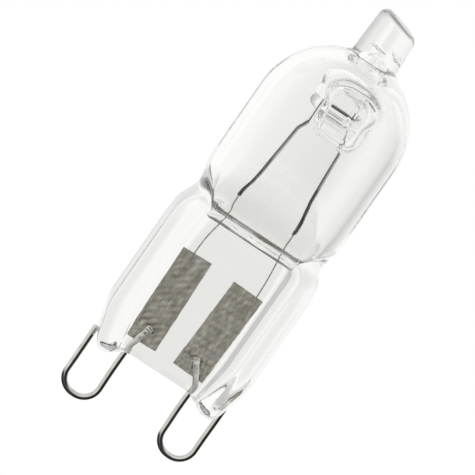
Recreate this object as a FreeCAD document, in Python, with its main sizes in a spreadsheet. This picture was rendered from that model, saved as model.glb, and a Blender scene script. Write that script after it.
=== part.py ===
import FreeCAD, Part
import math
import os
import re
import Sketcher

# Halogen capsule lamp with a loop base, in millimetres.
# +Z is the lamp axis, +X runs across the press and the front is -Y.
# The origin is on the axis at the lower edge of the web, where the contact loops leave the glass.

SIZES = [
    ("bulb_diameter", 12.6, "outside diameter of the straight bulb"),
    ("wall_thickness", 0.9, "wall of the bulb"),
    ("bulb_length", 7.4, "length of the straight wall of the bulb"),
    ("waist_depth", 0.48, "how far the waist is drawn in on each side"),
    ("waist_height", 14.4, "height of the waist"),
    ("bulb_flare", 1.7, "height over which the bulb widens above the waist"),
    ("tip_diameter", 3.9, "exhaust tip where it leaves the dome"),
    ("tip_taper", 0.3, "narrowing of the tip towards its end"),
    ("tip_length", 4.0, "reach of the tip above the top of the dome"),
    ("tip_slant", 0.7, "fall of the tip's end from side to side"),
    ("tip_bevel", 0.4, "softened edge of the tip's end"),
    ("bore_diameter", 1.5, "exhaust bore left open in the tip"),
    ("bore_taper", 0.9, "length over which the exhaust bore closes"),
    ("tip_seal", 2.4, "solid glass from the end of the bore to the end of the tip"),
    ("press_width", 13.0, "width of the flat press"),
    ("shoulder_height", 1.8, "height of the rounded shoulders of the press"),
    ("web_thickness", 2.4, "glass between the rails"),
    ("web_edge_width", 5.4, "flat lower edge of the web"),
    ("rail_thickness", 4.6, "rails from front to back"),
    ("rail_width", 1.5, "flat crest of a rail"),
    ("rail_flank", 0.5, "width of the slope from a rail's crest to the web"),
    ("rail_bevel", 0.3, "bevel of the rails' long edges"),
    ("rail_drop", 0.7, "how far the rails reach below the web"),
    ("foot_inset", 1.3, "from the side of the press to the middle of a rail's foot"),
    ("foot_width", 0.8, "flat foot of a rail"),
    ("corner_height", 3.3, "height of the rounded lower corners"),
    ("jaw_above", 2.4, "how far above the waist the sloping front leaves the bulb"),
    ("jaw_below", 1.4, "how far below the waist the sloping front meets the web"),
    ("jaw_round", 2.0, "rounding where the sloping front leaves the bulb"),
    ("jaw_blend", 1.0, "hollow curve where the sloping front meets the web"),
    ("jaw_clear", 0.05, "how far outside the wall that rounding ends"),
    ("groove_width", 1.1, "groove in a rail's side for the end of a loop"),
    ("groove_clearance", 0.35, "room between the loop's wire and that groove's floor"),
    ("groove_height", 2.2, "height of that groove's upper end"),
    ("slot_width", 8.5, "flattened foot of the cavity, across"),
    ("slot_gap", 0.9, "flattened foot of the cavity, front to back"),
    ("slot_height", 1.0, "flattened foot of the cavity, height"),
    ("slot_bevel", 0.4, "bevel of the lower corners of that foot"),
    ("post_width", 2.8, "glass post at the middle of the bulb"),
    ("post_height", 2.8, "height of the post"),
    ("post_rise", 0.5, "height of the post's flat underside above the centre of the dome"),
    ("post_round", 0.45, "rounding of the post's lower corners"),
    ("post_crown", 0.9, "rounding of the post's upper corners"),
    ("post_skin", 0.7, "glass between the post's surface and the dimple"),
    ("post_core", 1.0, "glass between the floors of the two dimples"),
    ("dimple_flare", 0.36, "widening of a dimple for each millimetre of depth"),
    ("dimple_round", 0.25, "rounding of the lower corners of a dimple's floor"),
    ("pin_spacing", 9.0, "from the middle of one contact loop to the other"),
    ("loop_width", 3.0, "between the two legs of a loop, at their axes"),
    ("loop_flat", 0.2, "straight stretch at the bottom of a loop"),
    ("loop_depth", 5.55, "reach of a loop below the web"),
    ("loop_end_height", 0.25, "height of the free end of a loop"),
    ("loop_wire", 0.5, "diameter of the loop wire"),
    ("weld_bend", 0.6, "bend of the loop wire below its weld"),
    ("weld_bend_drop", 0.6, "how far below the web that bend lies"),
    ("weld_length", 1.5, "lap of the loop wire on its foil"),
    ("weld_shift_left", 0.6, "inward lean of the left weld"),
    ("weld_shift_right", 1.2, "inward lean of the right weld"),
    ("weld_flat", 0.04, "from the axes of the wires to the face of the foils"),
    ("foil_width", 2.8, "width of a foil"),
    ("foil_length", 8.1, "length of a foil"),
    ("foil_thickness", 0.04, "thickness of a foil"),
    ("foil_bottom", 1.1, "height of the foils' lower ends"),
    ("foil_inset_left", 0.4, "from the left loop's inner leg in to the middle of its foil"),
    ("foil_inset_right", 0.9, "from the right loop's inner leg in to the middle of its foil"),
    ("foil_lean_left", -1.0, "lean of the left foil to the right, in degrees"),
    ("foil_lean_right", 2.0, "lean of the right foil to the right, in degrees"),
    ("lead_wire", 0.12, "diameter of the inner leads"),
    ("lead_lap", 2.2, "lap of an inner lead on its foil"),
    ("coil_diameter", 0.32, "outside diameter of the coiled legs"),
    ("coil_rise", 0.6, "height of the coils' lower ends above the waist"),
    ("coil_drop", 0.8, "from that turn of the fine wire down to the coils' upper ends"),
    ("coil_foot_spacing", 5.0, "between the lower ends of the coils"),
    ("coil_head_spacing", 3.8, "between the upper ends of the coils"),
    ("coil_plug", 4.0, "length of inner lead inside a coil"),
    ("held_coil", 1.4, "length of the short coil held in the post"),
    ("held_coil_rise", 1.05, "height of that coil above the post's underside"),
    ("bridge_wire", 0.17, "diameter of the fine wire between the coils"),
    ("bridge_clearance", 0.02, "room between the filament and the post"),
    ("bridge_drop", 1.0, "from the post's underside down to where the fine wire turns upright"),
    ("bridge_bend", 0.3, "bend of the fine wire below the post"),
    ("bridge_turn", 0.2, "bend of the fine wire where it enters the post"),
]

# Formulas that several pieces share
BULB_RADIUS = "(bulb_diameter / 2)"
INNER_RADIUS = "(bulb_diameter / 2 - wall_thickness)"
WAIST_HALF = "(min(bulb_diameter; press_width) / 2 - waist_depth)"
FLARE_TOP = "(waist_height + bulb_flare)"
DOME_CENTRE = f"({FLARE_TOP} + bulb_length)"
TIP_TOP = f"({DOME_CENTRE} + {BULB_RADIUS} + tip_length)"
PRESS_HALF = "(press_width / 2)"
WEB_HALF = "(web_thickness / 2)"
RAIL_HALF = "(rail_thickness / 2)"
JAW_BOTTOM = "(waist_height - jaw_below)"
JAW_RISE = "(jaw_above + jaw_below)"
JAW_RUN = "(bulb_diameter / 2 - web_thickness / 2)"
JAW_LENGTH = f"sqrt({JAW_RISE}^2 + {JAW_RUN}^2)"
JAW_SINE = f"({JAW_RISE} / {JAW_LENGTH})"
JAW_COSINE = f"({JAW_RUN} / {JAW_LENGTH})"
JAW_REACH = f"(jaw_blend * (1 - {JAW_SINE}) / {JAW_COSINE})"
# The slope inside runs parallel to the slope outside, one wall away, down to the flattened foot.
SLOT_RISE = f"(wall_thickness * {JAW_LENGTH} - {JAW_RISE} * ({WEB_HALF} - slot_gap / 2)) / {JAW_RUN}"
SLOT_TOP = f"({JAW_BOTTOM} + {SLOT_RISE})"
CAVITY_FLOOR = f"({SLOT_TOP} - slot_height)"
POST_HALF = "(post_width / 2)"
POST_BOTTOM = f"({DOME_CENTRE} + post_rise)"
POST_TOP = f"({POST_BOTTOM} + post_height)"
BRIDGE_SPAN = "(post_width / 2 + bridge_clearance + bridge_wire / 2)"
BRIDGE_TOP = f"({POST_BOTTOM} + held_coil_rise)"
BRIDGE_FOOT = f"({POST_BOTTOM} - bridge_drop)"
COIL_TOP = f"({BRIDGE_FOOT} - coil_drop)"
COIL_BOTTOM = "(waist_height + coil_rise)"
INNER_LEG = "(pin_spacing / 2 - loop_width / 2)"
OUTER_LEG = "(pin_spacing / 2 + loop_width / 2)"
FOIL_TOP = "(foil_bottom + foil_length)"
# Reach of a cut past what it cuts, and how far from flat a flat edge may measure
OVERSHOOT = 1.0
FLATNESS = 0.001

document = FreeCAD.newDocument("halogen_capsule")
sheet = document.addObject("Spreadsheet::Sheet", "sizes")
for row, (alias, size, meaning) in enumerate(SIZES, start=1):
    sheet.set(f"A{row}", meaning)
    sheet.set(f"B{row}", str(size))
    sheet.setAlias(f"B{row}", alias)
document.recompute()

ALIASES = re.compile(r"\b(" + "|".join(alias for alias, size, meaning in SIZES) + r")\b")


def number(formula):
    """The present value of a formula of sheet aliases."""
    return float(sheet.evalExpression(formula))


def bind(item, path, formula):
    """Tie a property or constraint of an object to a formula of sheet aliases."""
    item.setExpression(path, ALIASES.sub(r"sizes.\1", formula))


def curve_radius(run, rise):
    """Radius of the arc that leaves upright and moves sideways by run over a height of rise."""
    return f"(({run})^2 + ({rise})^2) / (2 * ({run}))"


def double_curve_radius(run, rise):
    """Radius of the two arcs of an S that starts and ends upright."""
    return f"(({run})^2 + ({rise})^2) / (4 * ({run}))"


def add_sketch(body, role, name, offset=None):
    """A sketch on one of the body's own origin planes, moved along the plane's normal by a formula."""
    plane = next(item for item in body.Origin.OriginFeatures if item.Role == role)
    sketch = body.newObject("Sketcher::SketchObject", name)
    sketch.AttachmentSupport = (plane, [""])
    sketch.MapMode = "FlatFace"
    if offset:
        bind(sketch, "AttachmentOffset.Base.z", offset)
    return sketch


def add_size(sketch, formula, *constraint):
    """A dimension of a sketch, tied to its formula."""
    index = sketch.addConstraint(Sketcher.Constraint(*constraint, number(formula)))
    bind(sketch, f"Constraints[{index}]", formula)


def pin(sketch, geometry, end, across, up):
    """Fix one end of a piece of geometry by two formulas, on the sketch's axes where they are zero."""
    origin = (-1, 1)
    if across == "0":
        sketch.addConstraint(Sketcher.Constraint("PointOnObject", geometry, end, -2))
    else:
        add_size(sketch, across, "DistanceX", *origin, geometry, end)
    if up == "0":
        sketch.addConstraint(Sketcher.Constraint("PointOnObject", geometry, end, -1))
    else:
        add_size(sketch, up, "DistanceY", *origin, geometry, end)


def arc_between(start, end, radius, turn):
    """The short arc from start to end; turn is 1 for a left-hand bend and -1 for a right-hand one."""
    chord = end - start
    left = FreeCAD.Vector(-chord.y, chord.x, 0).normalize()
    rise = math.sqrt(max(radius**2 - (chord.Length / 2) ** 2, 0.0))
    centre = (start + end) * 0.5 + left * (turn * rise)
    first, last = (start, end) if turn > 0 else (end, start)
    start_angle = math.atan2(first.y - centre.y, first.x - centre.x)
    end_angle = math.atan2(last.y - centre.y, last.x - centre.x)
    if end_angle <= start_angle:
        end_angle += 2 * math.pi
    circle = Part.Circle(centre, FreeCAD.Vector(0, 0, 1), radius)
    return Part.ArcOfCircle(circle, start_angle, end_angle)


def draw_outline(sketch, corners):
    """A closed outline. Each corner is (across, up), with (radius, turn) where an arc follows it."""
    points = [FreeCAD.Vector(number(corner[0]), number(corner[1]), 0) for corner in corners]
    edges = []
    for index, corner in enumerate(corners):
        start = points[index]
        end = points[(index + 1) % len(points)]
        if len(corner) == 2:
            edges.append((sketch.addGeometry(Part.LineSegment(start, end)), 1, 2))
            continue
        radius, turn = corner[2]
        geometry = sketch.addGeometry(arc_between(start, end, number(radius), turn))
        edges.append((geometry, 1, 2) if turn > 0 else (geometry, 2, 1))
        add_size(sketch, radius, "Radius", geometry)
    for index, corner in enumerate(corners):
        geometry, start, end = edges[index]
        before, before_start, before_end = edges[index - 1]
        sketch.addConstraint(Sketcher.Constraint("Coincident", before, before_end, geometry, start))
        pin(sketch, geometry, start, corner[0], corner[1])


def draw_path(sketch, corners):
    """An open run of straight lines. Each inner corner is (across, up, bend radius)."""
    points = [FreeCAD.Vector(number(corner[0]), number(corner[1]), 0) for corner in corners]
    starts = [points[0]]
    ends = []
    for index in range(1, len(points) - 1):
        ahead = (points[index + 1] - points[index]).normalize()
        behind = (points[index - 1] - points[index]).normalize()
        reach = number(corners[index][2]) / math.tan(ahead.getAngle(behind) / 2)
        ends.append(points[index] + behind * reach)
        starts.append(points[index] + ahead * reach)
    ends.append(points[-1])
    lines = [sketch.addGeometry(Part.LineSegment(start, end)) for start, end in zip(starts, ends)]
    for index in range(1, len(points) - 1):
        before, after = lines[index - 1], lines[index]
        turn = 1 if (points[index] - points[index - 1]).cross(points[index + 1] - points[index]).z > 0 else -1
        radius = corners[index][2]
        arc = sketch.addGeometry(arc_between(ends[index - 1], starts[index], number(radius), turn))
        entry, leave = (1, 2) if turn > 0 else (2, 1)
        sketch.addConstraint(Sketcher.Constraint("Tangent", before, 2, arc, entry))
        sketch.addConstraint(Sketcher.Constraint("Tangent", arc, leave, after, 1))
        add_size(sketch, radius, "Radius", arc)
        corner = sketch.addGeometry(Part.Point(points[index]), True)
        sketch.addConstraint(Sketcher.Constraint("PointOnObject", corner, 1, before))
        sketch.addConstraint(Sketcher.Constraint("PointOnObject", corner, 1, after))
        pin(sketch, corner, 1, corners[index][0], corners[index][1])
    pin(sketch, lines[0], 1, corners[0][0], corners[0][1])
    pin(sketch, lines[-1], 2, corners[-1][0], corners[-1][1])


def mirrored(corners):
    """The same outline on the other side of the upright axis."""
    result = []
    for corner in corners:
        across = corner[0] if corner[0] == "0" else f"-({corner[0]})"
        edge = tuple((radius, -turn) for radius, turn in corner[2:])
        result.append((across, corner[1]) + edge)
    return result


def add_cut(body, sketch, name, width=None):
    """A pocket to both sides of its sketch: right through, or as wide as the formula says."""
    before = body.Shape.Volume
    pocket = body.newObject("PartDesign::Pocket", name)
    pocket.Profile = sketch
    pocket.SideType = "Symmetric"
    if width:
        bind(pocket, "Length", width)
    else:
        pocket.Type = "ThroughAll"
    document.recompute()
    if body.Shape.Volume >= before:
        raise RuntimeError(f"{name} cuts nothing")


def add_revolution(body, sketch, name):
    """The outline turned about the lamp axis."""
    revolution = body.newObject("PartDesign::Revolution", name)
    revolution.Profile = sketch
    revolution.ReferenceAxis = (sketch, ["V_Axis"])
    document.recompute()


def bevel_edges(body, name, size, chosen):
    """A bevel on the edges of the body so far that the test chooses."""
    document.recompute()
    base = body.Tip
    edges = [f"Edge{place}" for place, edge in enumerate(base.Shape.Edges, start=1) if chosen(edge)]
    bevel = body.newObject("PartDesign::Chamfer", name)
    bevel.Base = (base, edges)
    bind(bevel, "Size", size)
    document.recompute()


def add_wire(body, name, corners, diameter):
    """A round wire along a bent path in the plane of the lamp."""
    path = add_sketch(body, "XZ_Plane", f"{name}_path")
    draw_path(path, corners)
    document.recompute()
    section = body.newObject("Sketcher::SketchObject", f"{name}_section")
    section.AttachmentSupport = (path, ["Edge1"])
    section.MapMode = "NormalToEdge"
    round_wire = Part.Circle(FreeCAD.Vector(), FreeCAD.Vector(0, 0, 1), number(diameter) / 2)
    circle = section.addGeometry(round_wire)
    section.addConstraint(Sketcher.Constraint("Coincident", circle, 3, -1, 1))
    add_size(section, diameter, "Diameter", circle)
    pipe = body.newObject("PartDesign::AdditivePipe", name)
    pipe.Profile = section
    pipe.Spine = path
    document.recompute()


def add_body(name):
    return document.addObject("PartDesign::Body", name)


def cut_from(name, base, tool):
    """A piece with room made in it for its neighbour, face to face."""
    piece = document.addObject("Part::Cut", name)
    piece.Base = base
    piece.Tool = tool
    piece.Label = name
    document.recompute()
    return piece


def join(name, pieces):
    group = document.addObject("Part::MultiFuse", name)
    group.Shapes = pieces
    document.recompute()
    return group


def add_dimple_section(body, name, depth, offset, rounding):
    """The rounded outline of the post, grown by offset, at a depth in front of the lamp's middle plane."""
    half = f"({POST_HALF} + ({offset}))"
    bottom = f"({POST_BOTTOM} - ({offset}))"
    top = f"({POST_TOP} + ({offset}))"
    crown = f"(post_crown + ({offset}))"
    sketch = add_sketch(body, "XZ_Plane", name, depth)
    right = [
        (f"{half} - ({rounding})", bottom, (rounding, 1)),
        (half, f"{bottom} + ({rounding})"),
        (half, f"{top} - {crown}", (crown, 1)),
        (f"{half} - {crown}", top),
    ]
    left = [
        (f"-({half} - {crown})", top, (crown, 1)),
        (f"-{half}", f"{top} - {crown}"),
        (f"-{half}", f"{bottom} + ({rounding})", (rounding, 1)),
        (f"-({half} - ({rounding}))", bottom),
    ]
    draw_outline(sketch, right + left)
    return sketch


def cut_dimples(body, name, floor, floor_offset, mouth, rounding):
    """Two rounded recesses, front and back, that widen from the floor depth to the mouth depth."""
    for place, side in (("front", ""), ("back", "-")):
        before = body.Shape.Volume
        widening = f"dimple_flare * ({mouth} - ({floor}))"
        inner = add_dimple_section(body, f"{name}_{place}_floor", f"{side}({floor})", floor_offset, rounding)
        outer = add_dimple_section(
            body,
            f"{name}_{place}_mouth",
            f"{side}({mouth})",
            f"{floor_offset} + {widening}",
            f"{rounding} + {widening}",
        )
        document.recompute()
        loft = body.newObject("PartDesign::SubtractiveLoft", f"{name}_{place}")
        loft.Profile = inner
        loft.Sections = [outer]
        document.recompute()
        if body.Shape.Volume >= before:
            raise RuntimeError(f"{name}_{place} cuts nothing")


def cut_jaws(body, name, foot, foot_height, wall_radius):
    """Flatten a round body from front and back: an upright foot, a hollow curve, a slope and a round shoulder."""
    outside = f"({wall_radius} + jaw_clear)"
    low = f"{foot_height} - slot_height - {OVERSHOOT}"
    far = f"{outside} + {OVERSHOOT}"
    top = f"({foot_height} + (({outside} - jaw_round - {foot}) * {JAW_SINE} + jaw_round) / {JAW_COSINE})"
    back = [
        (foot, low),
        (foot, f"{foot_height} - {JAW_REACH}", ("jaw_blend", -1)),
        (f"{foot} + {JAW_REACH} * {JAW_COSINE}", f"{foot_height} + {JAW_REACH} * {JAW_SINE}"),
        (f"{outside} - jaw_round * (1 - {JAW_SINE})", f"{top} - jaw_round * {JAW_COSINE}", ("jaw_round", 1)),
        (outside, top),
        (far, top),
        (far, low),
    ]
    sketch = add_sketch(body, "YZ_Plane", f"{name}_outline")
    draw_outline(sketch, back)
    draw_outline(sketch, mirrored(back))
    add_cut(body, sketch, name)


def build_bulb():
    """The blown bulb: straight wall, dome, exhaust tip, sloping front and back, and two dimples outside."""
    body = add_body("bulb")
    sketch = add_sketch(body, "XZ_Plane", "bulb_outline")
    flare = f"{BULB_RADIUS} - {WAIST_HALF}"
    bend = double_curve_radius(flare, "bulb_flare")
    tip_radius = "(tip_diameter / 2)"
    outline = [
        ("0", f"{JAW_BOTTOM} - {JAW_REACH}"),
        (WAIST_HALF, f"{JAW_BOTTOM} - {JAW_REACH}"),
        (WAIST_HALF, "waist_height", (bend, -1)),
        (f"{WAIST_HALF} + ({flare}) / 2", "waist_height + bulb_flare / 2", (bend, 1)),
        (BULB_RADIUS, FLARE_TOP),
        (BULB_RADIUS, DOME_CENTRE, (BULB_RADIUS, 1)),
        (tip_radius, f"{DOME_CENTRE} + sqrt({BULB_RADIUS}^2 - {tip_radius}^2)"),
        (f"{tip_radius} - tip_taper / 2", TIP_TOP),
        ("0", TIP_TOP),
    ]
    draw_outline(sketch, outline)
    add_revolution(body, sketch, "bulb_blow")
    cut_jaws(body, "bulb_jaws", WEB_HALF, JAW_BOTTOM, BULB_RADIUS)
    slant = add_sketch(body, "XZ_Plane", "tip_slant_outline")
    above = [
        (f"-{tip_radius}", TIP_TOP),
        (tip_radius, f"{TIP_TOP} - tip_slant"),
        (tip_radius, f"{TIP_TOP} + {OVERSHOOT}"),
        (f"-{tip_radius}", f"{TIP_TOP} + {OVERSHOOT}"),
    ]
    draw_outline(slant, above)
    add_cut(body, slant, "tip_slant_cut")
    lowest = number(f"{TIP_TOP} - tip_slant - tip_bevel")
    bevel_edges(body, "tip_edge", "tip_bevel", lambda edge: edge.BoundBox.ZMin > lowest)
    floor = "post_core / 2"
    cut_dimples(
        body,
        "dimple",
        floor,
        f"dimple_flare * {floor} - post_skin",
        f"{BULB_RADIUS} + {OVERSHOOT}",
        "dimple_round",
    )
    return body


def is_outline_edge(box, top):
    """Whether an edge of the press lies in its front or back face, below its upper end."""
    return box.YLength < FLATNESS and box.ZMin < top - FLATNESS


def build_press():
    """The flat press: web, two rails with bevelled edges and rounded corners, and a groove in each side."""
    body = add_body("press")
    sketch = add_sketch(body, "XZ_Plane", "press_outline")
    foot_inside = f"({PRESS_HALF} - foot_inset - foot_width / 2)"
    foot_outside = f"({PRESS_HALF} - foot_inset + foot_width / 2)"
    corner = curve_radius(f"{PRESS_HALF} - {foot_outside}", "corner_height")
    shoulder_run = f"{PRESS_HALF} - {WAIST_HALF}"
    shoulder = double_curve_radius(shoulder_run, "shoulder_height")
    shoulder_middle = f"{WAIST_HALF} + ({shoulder_run}) / 2"
    right = [
        ("web_edge_width / 2", "0"),
        (foot_inside, "-rail_drop"),
        (foot_outside, "-rail_drop", (corner, 1)),
        (PRESS_HALF, "corner_height - rail_drop"),
        (PRESS_HALF, "waist_height - shoulder_height", (shoulder, 1)),
        (shoulder_middle, "waist_height - shoulder_height / 2", (shoulder, -1)),
        (WAIST_HALF, "waist_height"),
    ]
    left = [
        (f"-{WAIST_HALF}", "waist_height", (shoulder, -1)),
        (f"-({shoulder_middle})", "waist_height - shoulder_height / 2", (shoulder, 1)),
        (f"-{PRESS_HALF}", "waist_height - shoulder_height"),
        (f"-{PRESS_HALF}", "corner_height - rail_drop", (corner, 1)),
        (f"-{foot_outside}", "-rail_drop"),
        (f"-{foot_inside}", "-rail_drop"),
        ("-web_edge_width / 2", "0"),
    ]
    draw_outline(sketch, right + left)
    pad = body.newObject("PartDesign::Pad", "press_pad")
    pad.Profile = sketch
    pad.SideType = "Symmetric"
    bind(pad, "Length", "rail_thickness")
    top = number("waist_height")
    bevel_edges(body, "rail_edges", "rail_bevel", lambda edge: is_outline_edge(edge.BoundBox, top))
    recess = add_sketch(body, "XY_Plane", "web_recess_outline")
    crest = f"({PRESS_HALF} - rail_width)"
    trough = f"({crest} - rail_flank)"
    outside = f"{RAIL_HALF} + {OVERSHOOT}"
    back = [
        (f"-{trough}", WEB_HALF),
        (trough, WEB_HALF),
        (crest, RAIL_HALF),
        (crest, outside),
        (f"-{crest}", outside),
        (f"-{crest}", RAIL_HALF),
    ]
    draw_outline(recess, back)
    draw_outline(recess, [(across, f"-({up})") for across, up in reversed(back)])
    add_cut(body, recess, "web_recess")
    groove = add_sketch(body, "XZ_Plane", "groove_outline")
    groove_floor = f"({OUTER_LEG} - loop_wire / 2 - groove_clearance)"
    groove_mouth = f"{PRESS_HALF} + {OVERSHOOT}"
    right_groove = [
        (groove_floor, f"-rail_drop - {OVERSHOOT}"),
        (groove_mouth, f"-rail_drop - {OVERSHOOT}"),
        (groove_mouth, f"groove_height + {OVERSHOOT}"),
        (groove_floor, f"groove_height - ({PRESS_HALF} - {groove_floor})"),
    ]
    draw_outline(groove, right_groove)
    draw_outline(groove, mirrored(right_groove))
    add_cut(body, groove, "side_grooves", "groove_width")
    return body


def build_cavity():
    """The space inside the glass: bulb, flattened foot and bore, less the post, and the hole through the post."""
    body = add_body("cavity")
    sketch = add_sketch(body, "XZ_Plane", "cavity_outline")
    slot_half = "(slot_width / 2)"
    bend = curve_radius(f"{INNER_RADIUS} - {slot_half}", f"{FLARE_TOP} - {SLOT_TOP}")
    bore = "(bore_diameter / 2)"
    bore_top = f"({TIP_TOP} - tip_seal)"
    outline = [
        ("0", CAVITY_FLOOR),
        (f"{slot_half} - slot_bevel", CAVITY_FLOOR),
        (slot_half, f"{CAVITY_FLOOR} + slot_bevel"),
        (slot_half, SLOT_TOP, (bend, 1)),
        (INNER_RADIUS, FLARE_TOP),
        (INNER_RADIUS, DOME_CENTRE, (INNER_RADIUS, 1)),
        (bore, f"{DOME_CENTRE} + sqrt({INNER_RADIUS}^2 - {bore}^2)"),
        (bore, f"{bore_top} - bore_taper"),
        ("0", bore_top),
    ]
    draw_outline(sketch, outline)
    add_revolution(body, sketch, "cavity_blow")
    cut_jaws(body, "cavity_jaws", "(slot_gap / 2)", SLOT_TOP, INNER_RADIUS)
    cut_dimples(body, "post", "0", "0", f"{BULB_RADIUS} + {OVERSHOOT}", "post_round")
    reach = f"({POST_HALF} + bridge_wire)"
    add_wire(body, "post_hole", [(f"-{reach}", BRIDGE_TOP), (reach, BRIDGE_TOP)], "coil_diameter + 2 * bridge_clearance")
    return body


def build_foil(side, sign):
    """A thin sealing foil behind the plane of the wires, leaning a little."""
    body = add_body(f"foil_{side}")
    sketch = add_sketch(body, "XZ_Plane", f"foil_{side}_outline", "-weld_flat")
    half_width = "(foil_width / 2)"
    half_length = "(foil_length / 2)"
    corners = [
        (f"-{half_width}", f"-{half_length}"),
        (half_width, f"-{half_length}"),
        (half_width, half_length),
        (f"-{half_width}", half_length),
    ]
    draw_outline(sketch, corners)
    pad = body.newObject("PartDesign::Pad", f"foil_{side}_sheet")
    pad.Profile = sketch
    pad.Reversed = True
    bind(pad, "Length", "foil_thickness")
    body.Placement = FreeCAD.Placement(FreeCAD.Vector(), FreeCAD.Rotation(FreeCAD.Vector(0, 1, 0), 1))
    bind(body, "Placement.Base.x", f"{sign}({INNER_LEG} - foil_inset_{side})")
    bind(body, "Placement.Base.z", "foil_bottom + foil_length / 2")
    bind(body, "Placement.Rotation.Angle", f"foil_lean_{side}")
    document.recompute()
    return body


def coil_point(sign, height):
    """The axis of a coiled leg at a height, extended past its ends."""
    share = f"(({height}) - {COIL_BOTTOM}) / ({COIL_TOP} - {COIL_BOTTOM})"
    across = f"{sign}(coil_foot_spacing / 2 - (coil_foot_spacing - coil_head_spacing) / 2 * {share})"
    return across, height


def build_inner_lead(side, sign, foil):
    """A thin straight lead on its coil's axis, from its foil, through the foot of the cavity, into the coil."""
    body = add_body(f"inner_lead_{side}_wire")
    corners = [
        coil_point(sign, f"{FOIL_TOP} - lead_lap"),
        coil_point(sign, f"{COIL_BOTTOM} + coil_plug"),
    ]
    add_wire(body, f"inner_lead_{side}_run", corners, "lead_wire")
    return cut_from(f"inner_lead_{side}", body, foil)


def build_contact_loop(side, sign, foil):
    """The outer lead: flattened on its foil, out of the web, round the contact loop and up beside the rail."""
    body = add_body(f"contact_loop_{side}_wire")
    outer_leg = f"{sign}{OUTER_LEG}"
    inner_leg = f"{sign}{INNER_LEG}"
    bottom = "-(loop_depth - loop_wire / 2)"
    loop_bend = "(loop_width / 2 - loop_flat / 2)"
    corners = [
        (outer_leg, "loop_end_height"),
        (outer_leg, bottom, loop_bend),
        (inner_leg, bottom, loop_bend),
        (inner_leg, "-weld_bend_drop", "weld_bend"),
        (f"{sign}({INNER_LEG} - weld_shift_{side})", "foil_bottom + weld_length"),
    ]
    add_wire(body, f"contact_loop_{side}_run", corners, "loop_wire")
    return cut_from(f"contact_loop_{side}", body, foil)


def build_filament(leads):
    """Two coiled legs, a short coil in the post and fine wire between; the leads fill the legs' lower ends."""
    body = add_body("filament_wire")
    bridge_start = f"{COIL_TOP} - bridge_wire"
    for side, sign in (("left", "-"), ("right", "")):
        add_wire(
            body,
            f"coil_{side}",
            [coil_point(sign, COIL_BOTTOM), coil_point(sign, COIL_TOP)],
            "coil_diameter",
        )
    corners = [
        coil_point("-", bridge_start),
        (f"-{BRIDGE_SPAN}", BRIDGE_FOOT, "bridge_bend"),
        (f"-{BRIDGE_SPAN}", BRIDGE_TOP, "bridge_turn"),
        (BRIDGE_SPAN, BRIDGE_TOP, "bridge_turn"),
        (BRIDGE_SPAN, BRIDGE_FOOT, "bridge_bend"),
        coil_point("", bridge_start),
    ]
    add_wire(body, "bridge", corners, "bridge_wire")
    half = "(held_coil / 2)"
    add_wire(body, "coil_held", [(f"-{half}", BRIDGE_TOP), (half, BRIDGE_TOP)], "coil_diameter")
    return cut_from("filament", body, join("coil_plugs", leads))


foils = [build_foil(side, sign) for side, sign in (("left", "-"), ("right", ""))]
leads = [build_inner_lead("left", "-", foils[0]), build_inner_lead("right", "", foils[1])]
loops = [build_contact_loop("left", "-", foils[0]), build_contact_loop("right", "", foils[1])]
filament = build_filament(leads)
glass = join("glass", [build_bulb(), build_press()])
hollows = join("hollows", [build_cavity()] + foils + leads + loops)
envelope = cut_from("quartz_envelope", glass, hollows)

nodes = [envelope, filament] + leads + foils + loops
document.recompute()
for item in document.Objects:
    if "Invalid" in item.State or "Error" in item.State:
        raise RuntimeError(f"{item.Name} failed: {item.State}")
for node in nodes:
    if node.Shape.isNull() or not node.Shape.isValid() or len(node.Shape.Solids) != 1:
        raise RuntimeError(f"{node.Label} is not one valid solid")

os.makedirs("parts", exist_ok=True)
for node in nodes:
    node.Shape.exportStep(f"parts/{node.Label}.step")
    print(node.Label, round(node.Shape.Volume, 3), "mm3")
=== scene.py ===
import math
import bpy
import numpy as np
from mathutils import Matrix, Vector


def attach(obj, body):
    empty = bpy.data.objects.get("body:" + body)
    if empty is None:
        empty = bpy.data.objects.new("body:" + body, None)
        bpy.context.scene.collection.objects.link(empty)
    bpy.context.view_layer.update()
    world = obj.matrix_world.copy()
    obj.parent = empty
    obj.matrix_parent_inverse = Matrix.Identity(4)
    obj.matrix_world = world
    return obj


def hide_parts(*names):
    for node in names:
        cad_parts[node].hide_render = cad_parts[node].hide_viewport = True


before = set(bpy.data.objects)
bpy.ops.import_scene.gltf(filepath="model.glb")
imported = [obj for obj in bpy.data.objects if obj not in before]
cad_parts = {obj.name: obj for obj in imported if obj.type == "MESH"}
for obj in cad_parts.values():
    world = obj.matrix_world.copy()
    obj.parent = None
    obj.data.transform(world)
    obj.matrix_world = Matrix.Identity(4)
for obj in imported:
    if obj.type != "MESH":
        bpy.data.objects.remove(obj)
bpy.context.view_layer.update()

mm = 0.001  # pieces are worked out in millimetres and put into the mesh in metres


# Small tools shared by all pieces

def hexColour(code):
    # sRGB hex code to linear colour
    values = [int(code[i:i + 2], 16) / 255 for i in (0, 2, 4)]
    linear = [v / 12.92 if v <= 0.04045 else ((v + 0.055) / 1.055) ** 2.4 for v in values]
    return (*linear, 1.0)


def smoothStep(low, high, value):
    # 0 below low, 1 above high, an S-shaped cubic between them
    t = np.clip((value - low) / (high - low), 0, 1)
    return t * t * (3 - 2 * t)


def softMin(a, b, blend):
    # the smaller of two values, rounded where they meet
    h = np.clip(0.5 + 0.5 * (b - a) / blend, 0, 1)
    return b * (1 - h) + a * h - blend * h * (1 - h)


def softMax(a, b, blend):
    # the larger of two values, rounded where they meet
    return -softMin(-a, -b, blend)


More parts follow.
